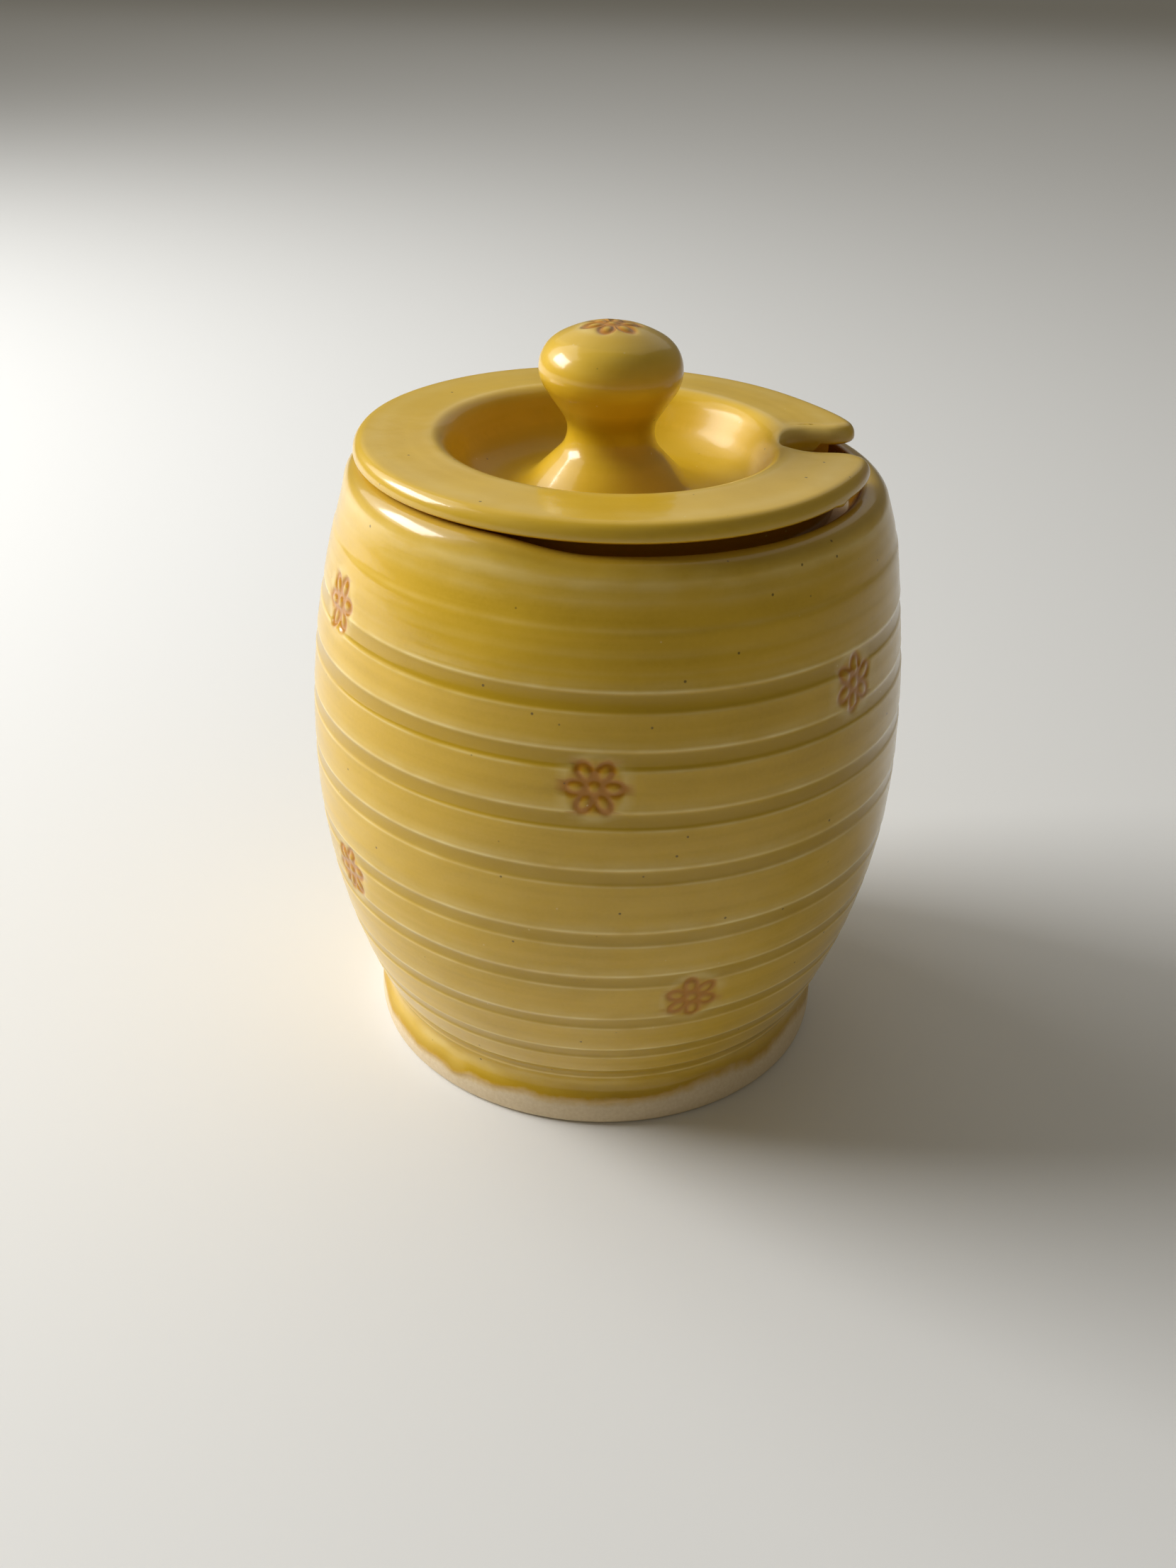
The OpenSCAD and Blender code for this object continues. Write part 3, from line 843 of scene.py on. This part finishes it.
# %% [markdown]
# ## Heights of the lid
#
# Seen from the side, the lid's top is level on the flange, rolls over a lip, falls as a steep bowl
# and runs out into a narrow floor. The knob's stem spreads into that floor at 45 degrees. Each
# curve is worked out from its neighbours, so that they meet without a corner.

# %% Lip, bowl and stem
LID_TOP, FLANGE_UNDER = 108.3, 105.3
WELL_R, WELL_LIP = 28.9, 3.6
WELL_FLOOR = 99.4
STEM_R, STEM_Z = 6.9, 108.9
NECK_FLARE, FOOT_FLARE = 5, 8
spread = math.radians(45)
neck_low = (STEM_R + NECK_FLARE * (1 - math.cos(spread)), STEM_Z - NECK_FLARE * math.sin(spread))
foot_high = WELL_FLOOR + FOOT_FLARE * (1 - math.cos(spread))
floor_r = neck_low[0] + (neck_low[1] - foot_high) / math.tan(spread) + FOOT_FLARE * math.sin(spread)
slope = math.radians(63)
lip_r = WELL_R - WELL_LIP * math.sin(slope)
lip_z = LID_TOP - WELL_LIP * (1 - math.cos(slope))
# The bowl is one curve from the floor up to a short straight wall under the lip
curve = (math.tan(slope) * (lip_r - floor_r) - (lip_z - WELL_FLOOR)) / (
    math.tan(slope) * math.sin(slope) - (1 - math.cos(slope))
)
cone_r = floor_r + curve * math.sin(slope)
print("bowl curve", round(curve, 1), "mm, narrow floor at radius", round(floor_r, 1))

# %% Top and underside
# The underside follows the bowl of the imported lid, whose lip is a little further in
LID_WALL, UNDER_R = 4.3, 16.4
PACKED_LIP_R, PACKED_LIP = 28.5, 3.5
run, rise = PACKED_LIP_R - UNDER_R, LID_TOP - PACKED_LIP - WELL_FLOOR
bowl_out = (run**2 + rise**2 - PACKED_LIP**2) / (2 * (rise + PACKED_LIP)) + LID_WALL
bowl_z = WELL_FLOOR + bowl_out - LID_WALL


def top_height(r):
    """Height of the lid's upper face at a radius, from the flange in to the well's floor."""
    if r >= WELL_R:
        return LID_TOP
    if r >= lip_r:
        return LID_TOP - WELL_LIP + math.sqrt(WELL_LIP**2 - (WELL_R - r) ** 2)
    if r >= cone_r:
        return lip_z - math.tan(slope) * (lip_r - r)
    return WELL_FLOOR + curve - math.sqrt(curve**2 - (r - floor_r) ** 2)


def under_height(r):
    """Height of the lid's underside, without its seat ring."""
    web = LID_TOP - LID_WALL
    reach = math.sqrt(bowl_out**2 - (web - bowl_z) ** 2)
    if r - UNDER_R >= reach:
        return web + (FLANGE_UNDER - web) * ease(33.6, 34.6, r)
    return bowl_z - math.sqrt(bowl_out**2 - (r - UNDER_R) ** 2)


print("top at the lip", round(top_height(lip_r), 2), "mm, underside", round(under_height(lip_r), 2))

# %% Stem and knob
KNOB_R, KNOB_ROLL, KNOB_DOME, KNOB_Z = 11.25, 5.5, 17, 118.4
STEM_CURVE = 4.5
roll_x = KNOB_R - KNOB_ROLL
dome_drop = math.sqrt((KNOB_DOME - KNOB_ROLL) ** 2 - roll_x**2)
dome_angle = math.degrees(math.atan2(dome_drop, roll_x))
waist_x = STEM_R + STEM_CURVE
taper_x, taper_z = waist_x - roll_x, STEM_Z - KNOB_Z
taper = math.degrees(
    math.atan2(taper_z, taper_x)
    + math.acos((KNOB_ROLL + STEM_CURVE) / math.hypot(taper_x, taper_z))
)
print("knob", 2 * KNOB_R, "mm across on a stem of", 2 * STEM_R, "mm")

# %% Outline of the bowl's foot, the stem and the knob
# Inside this radius every ring of the lid is a plain circle
SPREAD_R = 24
curve_start = -math.degrees(math.acos(min(math.sin(slope), (SPREAD_R - 0.5 - floor_r) / curve)))


def straight(start, end):
    """Three points on the way from one point of an outline to another."""
    return [
        (start[0] + (end[0] - start[0]) * t, start[1] + (end[1] - start[1]) * t)
        for t in (0.25, 0.5, 0.75)
    ]


roll = arc((roll_x, KNOB_Z), KNOB_ROLL, taper, dome_angle, 0.5)
knob = arc((floor_r, WELL_FLOOR + curve), curve, curve_start, -90, 0.5)
knob += arc((floor_r, WELL_FLOOR + FOOT_FLARE), FOOT_FLARE, 270, 225, 0.7)[1:]
knob += straight(knob[-1], neck_low)
knob += arc((STEM_R + NECK_FLARE, STEM_Z), NECK_FLARE, 225, 180, 0.5)
knob += arc((waist_x, STEM_Z), STEM_CURVE, 180, 180 + taper, 0.5)[1:]
knob += straight(knob[-1], roll[0])
knob += roll
knob += arc((0, KNOB_Z - dome_drop), KNOB_DOME, dome_angle, 90, 0.4)[1:-1]
knob_top = KNOB_Z - dome_drop + KNOB_DOME
print("knob outline of", len(knob), "points, top at", round(knob_top, 2), "mm")

# %% [markdown]
# ## Growing the rings
#
# From the outline, one family of rings rolls over the edge, crosses the flange, drops into the well
# and climbs the knob. A second family goes down the edge and in under the lid. Near the notch the
# rings bunch up between its lip and the well, as the clay does.


# %% Ring helpers
def offset_place(station, depth):
    """Point of a station at a depth from the outline into the clay, seen from above."""
    x, y, inward_x, inward_y, fan = stations[station]
    return Vector((x + inward_x * depth, y + inward_y * depth))


def spread_place(station, share, depth):
    """Point on the way from the offset outline to the circle in the well."""
    start = offset_place(station, depth)
    fan = math.radians(stations[station][4])
    end = Vector((math.cos(fan), math.sin(fan))) * SPREAD_R
    return start.lerp(end, share)


def circle_place(station, r, z):
    """Point of a station on a plain circle."""
    fan = math.radians(stations[station][4])
    return Vector((r * math.cos(fan), r * math.sin(fan), z))


def lower_of(a, b, soft):
    """The lower of two heights, with the corner between them rounded."""
    t = max(0.0, 1 - abs(a - b) / soft)
    return min(a, b) - soft * t * t / 4


def grow(bm, ring, place):
    """Extrudes a ring of edges and moves each new point to its station's place."""
    made = bmesh.ops.extrude_edge_only(bm, edges=ring)["geom"]
    fresh = {item for item in made if isinstance(item, bmesh.types.BMVert)}
    for vert in fresh:
        vert.co = place(vert[station_layer])
    lines = [item for item in made if isinstance(item, bmesh.types.BMEdge)]
    return [line for line in lines if line.verts[0] in fresh and line.verts[1] in fresh]


# %% Lid from its outline
ROLL_OVER = 2.2
UNDER_ROUND = 0.6
lid_mesh = bmesh.new()
station_layer = lid_mesh.verts.layers.int.new("station")
edge_z = LID_TOP - ROLL_OVER
first = []
for number in range(len(stations)):
    place = offset_place(number, 0)
    first.append(lid_mesh.verts.new((place.x, place.y, edge_z)))
    first[-1][station_layer] = number
start_ring = [lid_mesh.edges.new((a, b)) for a, b in zip(first, first[1:] + first[:1])]


def rolled(station, depth):
    """Point of a station on the roll over the edge."""
    place = offset_place(station, depth)
    over = ROLL_OVER - math.sqrt(ROLL_OVER**2 - (ROLL_OVER - depth) ** 2)
    height = lower_of(top_height(place.length), LID_TOP - over, 0.5)
    return Vector((place.x, place.y, height))


ROLL_STEPS = 8
ring = start_ring
for step in range(1, ROLL_STEPS + 1):
    depth = ROLL_OVER * (1 - math.cos(math.pi / 2 * step / ROLL_STEPS))
    ring = grow(lid_mesh, ring, lambda station: rolled(station, depth))

# %% Across the flange, down the bowl and up the knob
flange_radii = [FLANGE_R - ROLL_OVER - 0.7 * i for i in range(1, 14)]
lip_radii = [r for r, z in arc((WELL_R, 0), WELL_LIP, 90, 90 + math.degrees(slope), 0.4)]
well_radii = [25.1, 24.5, SPREAD_R]
for r in flange_radii + lip_radii[1:] + well_radii:
    share = (FLANGE_R - ROLL_OVER - r) / (FLANGE_R - ROLL_OVER - SPREAD_R)

    def across(station):
        place = spread_place(station, share, ROLL_OVER)
        over = lower_of(top_height(place.length), LID_TOP, 0.5 * (1 - share) + 0.001)
        return Vector((place.x, place.y, over))

    ring = grow(lid_mesh, ring, across)
for r, z in knob:
    ring = grow(lid_mesh, ring, lambda station: circle_place(station, r, z))
ring = grow(lid_mesh, ring, lambda station: circle_place(station, 0.1, LID_TOP))
tip = once(vert for edge in ring for vert in edge.verts)
bmesh.ops.pointmerge(lid_mesh, verts=tip, merge_co=(0, 0, knob_top))
print("upper side:", len(lid_mesh.faces), "faces")


# %% Underside of the lid
def wall_place(station, share):
    """Point on the upright edge, from the roll down to just above the underside."""
    place = offset_place(station, 0)
    low = under_height(place.length) + UNDER_ROUND
    return Vector((place.x, place.y, edge_z + (low - edge_z) * share))


def under_place(station, share, depth, drop):
    """Point on the underside, on the way from the edge to the circle in the well."""
    place = spread_place(station, share, depth)
    return Vector((place.x, place.y, under_height(place.length) + drop))


ring = start_ring
for share in (0.34, 0.67, 1):
    ring = grow(lid_mesh, ring, lambda station: wall_place(station, share))
for angle in (22.5, 45, 67.5, 90):
    depth = UNDER_ROUND * (1 - math.cos(math.radians(angle)))
    drop = UNDER_ROUND * (1 - math.sin(math.radians(angle)))
    ring = grow(lid_mesh, ring, lambda station: under_place(station, 0, depth, drop))
for r in (38, 36.4, 35, 34.6, 34.1, 33.6, 32, 30.5, 29.3, 28.8, 28, 27, 26, 25, SPREAD_R):
    share = (FLANGE_R - UNDER_ROUND - r) / (FLANGE_R - UNDER_ROUND - SPREAD_R)
    ring = grow(lid_mesh, ring, lambda station: under_place(station, share, UNDER_ROUND, 0))
for r in (22.5, 21, 19.5, 18, UNDER_R, 12, 8, 4):
    z = under_height(max(r, UNDER_R))
    ring = grow(lid_mesh, ring, lambda station: circle_place(station, r, z))
ring = grow(lid_mesh, ring, lambda station: circle_place(station, 0.1, 0))
tip = once(vert for edge in ring for vert in edge.verts)
bmesh.ops.pointmerge(lid_mesh, verts=tip, merge_co=(0, 0, under_height(UNDER_R)))
bmesh.ops.recalc_face_normals(lid_mesh, faces=lid_mesh.faces)
print("whole lid without its seat ring:", len(lid_mesh.faces), "faces")

# %% [markdown]
# ## The seat ring
#
# Under the flange a short ring keeps the lid in the gallery. It is a turned ring too, opened at the
# notch. It is spun on its own, cut off square on both sides of the notch with a plane, and joined
# to the lid with a Boolean, so the two are one closed skin as the clay is.

# %% Spinning the seat ring
SEAT_IN, SEAT_OUT, SEAT_UP, SEAT_ROUND = 32.2, 36.0, 106.4, 0.6
ring_section = [(SEAT_IN, SEAT_UP)]
ring_section += arc((SEAT_IN + SEAT_ROUND, LEDGE_Z + SEAT_ROUND), SEAT_ROUND, 180, 270, 0.25)
ring_section += [(SEAT_IN + 1.9, LEDGE_Z)]
ring_section += arc((SEAT_OUT - SEAT_ROUND, LEDGE_Z + SEAT_ROUND), SEAT_ROUND, 270, 360, 0.25)
ring_section += [(SEAT_OUT, 102), (SEAT_OUT, SEAT_UP)]
seat_mesh = bmesh.new()
points = [seat_mesh.verts.new((r, 0, z)) for r, z in ring_section]
lines = [seat_mesh.edges.new(pair) for pair in zip(points, points[1:] + points[:1])]
# Turned a little, so that no point of the ring meets one of the lid and the join leaves no slivers
SEAT_TURN, SEAT_SEGMENTS = 0.7, 160
little_turn = Matrix.Rotation(math.radians(SEAT_TURN), 3, "Z")
bmesh.ops.rotate(seat_mesh, matrix=little_turn, verts=seat_mesh.verts)
spun(seat_mesh, points + lines, SEAT_SEGMENTS)
bmesh.ops.recalc_face_normals(seat_mesh, faces=seat_mesh.faces)
print("seat ring spun:", len(seat_mesh.faces), "faces")

# %% Opening it at the notch
NOTCH_PLAY = 0.12
for way in (1, -1):
    front = [face for face in seat_mesh.faces if face.calc_center_median().x > 20]
    edges = once(edge for face in front for edge in face.edges)
    verts = once(vert for face in front for vert in face.verts)
    bmesh.ops.bisect_plane(
        seat_mesh,
        geom=front + edges + verts,
        plane_co=(0, way * (NOTCH_HALF + NOTCH_PLAY), 0),
        plane_no=(0, way, 0),
    )
middles = [(face, face.calc_center_median()) for face in seat_mesh.faces]
gone = [face for face, at in middles if at.x > 20 and abs(at.y) < NOTCH_HALF + NOTCH_PLAY]
bmesh.ops.delete(seat_mesh, geom=gone, context="FACES")
open_edges = [edge for edge in seat_mesh.edges if edge.is_boundary]
bmesh.ops.holes_fill(seat_mesh, edges=open_edges)
bmesh.ops.recalc_face_normals(seat_mesh, faces=seat_mesh.faces)
closed = all(edge.is_manifold for edge in seat_mesh.edges)
print("seat ring:", len(seat_mesh.faces), "faces, closed:", closed)


# %% Joining the two
def loose_object(bm, name):
    """Turns a mesh into a plain object, for the join alone."""
    data = bpy.data.meshes.new(name)
    bm.to_mesh(data)
    bm.free()
    piece = bpy.data.objects.new(name, data)
    bpy.context.scene.collection.objects.link(piece)
    return piece


upper_part = loose_object(lid_mesh, "lid_without_ring")
seat_part = loose_object(seat_mesh, "seat_ring")
join = upper_part.modifiers.new("join", "BOOLEAN")
join.operation = "UNION"
join.solver = "MANIFOLD"
join.object = seat_part
joined = upper_part.evaluated_get(bpy.context.evaluated_depsgraph_get()).to_mesh()
lid_mesh = bmesh.new()
lid_mesh.from_mesh(joined)
for piece in (upper_part, seat_part):
    data = piece.data
    bpy.data.objects.remove(piece)
    bpy.data.meshes.remove(data)
closed = all(edge.is_manifold for edge in lid_mesh.edges)
print("joined lid:", len(lid_mesh.faces), "faces, closed:", closed)

# %% [markdown]
# ## Glaze on the lid
#
# On the lid the glaze breaks pale in a band round the flange, along the well's lip and over the
# lips of the notch; along the well's lip the pale line is partly a painted highlight. It pools in
# the floor of the well and under the knob, where the amber is partly a painted reflection of the
# well.
# Under the flange it is painted dark and matt as shade. The seat ring was wiped clean where it
# stands on the ledge, or the lid would have stuck to the pot in the kiln.


# %% Glaze on the flange and in the well
def from_notch(x, y):
    """Distance from the notch's edge into the clay."""
    if x < NOTCH_END:
        return math.hypot(x - NOTCH_END, y) - NOTCH_HALF
    return abs(y) - NOTCH_HALF


def flange_glaze(place, r, around):
    """How thin, pooled and stained the glaze is on the flange and its lips."""
    # The pale line round the well's lip is partly thin glaze over the crest and partly a painted
    # highlight
    thin = 0.08 + 0.16 * bump(36.8, 1.6, r) + 0.18 * bump(28.6, 0.9, r)
    thin *= ease(26, 28, r)
    pool_and_shade = 0.3 * ease(39, 40.4, r)
    notch = from_notch(place.x, place.y)
    if place.x > 20 and notch < 3:
        thin = max(thin, 0.5 * (1 - ease(0.4, 2.6, notch)))
        pool_and_shade *= ease(0, 3, notch)
    # Where a finger rubbed the edge, the glaze is only a pink film
    rubbed = bump(72, 6, around) * ease(39.3, 40.2, r)
    return thin + 0.5 * rubbed, pool_and_shade, 0.5 * rubbed


def well_glaze(place, r):
    """How thin and how pooled the glaze is in the well, on the stem and on the knob."""
    z = place.z
    pool_and_shade = 0.15
    if r > STEM_R + 1.5:
        pool_and_shade = 0.45 * (1 - ease(WELL_FLOOR + 0.2, WELL_FLOOR + 5, z))
    # Under the knob and at the stem's waist the amber is partly pooled glaze and partly a painted
    # reflection of the well
    pool_and_shade += 0.55 * bump(STEM_Z + 2.2, 2.2, z) * (1 - ease(10, 12, r))
    pool_and_shade += 0.25 * bump(KNOB_Z - 3.4, 1.2, z) * (1 - ease(12, 14, r))
    return 0.12 * ease(KNOB_Z - 1, KNOB_Z + 4, z), pool_and_shade


# %% The lid as the hand left it
KNOB_FLOWER_TURN = 12
# The knob leans this far to the left, and the edge stands out this far behind and before the notch
KNOB_LEAN = 0.35
PULLED_BEFORE, PULLED_BEHIND = 0.5, 1.0
DRIP_AT, DRIP_LONG = 57, 0.6


def pulled_edge(away, r, z, around):
    """Move of a point near the flange's edge, which was pulled out beside the notch and dripped."""
    out = PULLED_BEFORE * bump(74, 12, around) + PULLED_BEHIND * bump(104, 12, around)
    move = away * out * ease(36, 40, r)
    if r > 39.4:
        move.z -= DRIP_LONG * bump(DRIP_AT, 1.7, around) * (1 - ease(105.3, 106.8, z))
    return move


# %% Marks on the lid
def mark_lid(place):
    """Glaze numbers and the move of a point of the lid."""
    x, y, z = place
    r = math.hypot(x, y)
    around = azimuth_of(place)
    away = Vector((x, y, 0)).normalized()
    thin = pool_and_shade = stain_and_shade = dull = 0.0
    bare = COVERED
    move = Vector((0, 0, 0))
    if z > WELL_FLOOR - 0.5:
        # The gloss in the bowl is worn
        dull = 0.8 * ease(15, 18, r) * (1 - ease(25.5, 27, r))
    if z < LEDGE_Z + 0.6 and r > 30:
        bare = BARE
    elif r > 30 and z < under_height(r) + 0.3:
        # Painted shade under the flange and on the seat ring: iron-stain colour, and no gloss
        stain_and_shade, dull = 0.8, 1.0
    if r > 36:
        move += pulled_edge(away, r, z, around)
    if r > SPREAD_R and (z > edge_z - 0.3 or r < lip_r):
        thin, pool_and_shade, film = flange_glaze(place, r, around)
        stain_and_shade += film
        move.z += 0.05 * drift(x, y, z, 18, 18) * ease(28, 31, r)
        move.z += 0.03 * drift(r, 0, 0, 0.9, 1) * ease(29, 31, r) * (1 - ease(38, 39, r))
    elif z > WELL_FLOOR - 0.5:
        thin, pool_and_shade = well_glaze(place, r)
        if z > KNOB_Z and r < 8:
            line = flower_line(x, y, KNOB_FLOWER_TURN)
            stain_and_shade = 1.25 * line + 0.25 * (1 - ease(3.6, 4.6, r))
            thin += 0.3 * bump(4.9, 0.8, r)
            move.z -= FLOWER_DEPTH * line
        move.x -= KNOB_LEAN * ease(109, 120, z)
        if 0.5 < r < 14 and z > WELL_FLOOR + 1:
            move += away * (0.06 * drift(x, y, z, 9, 7) + 0.03 * drift(x, y, z, 60, 1.2))
    return (min(1, thin), min(1, pool_and_shade), min(1, stain_and_shade), bare, dull), move


# %% The lid
# It lies a little to the left in its gallery
LID_OFF_X = -0.9
fire(lid_mesh, mark_lid)
bmesh.ops.translate(lid_mesh, vec=(LID_OFF_X, 0, 0), verts=lid_mesh.verts)
finished(lid_mesh, "thrown_lid", "lid", "lid", lid_glaze)
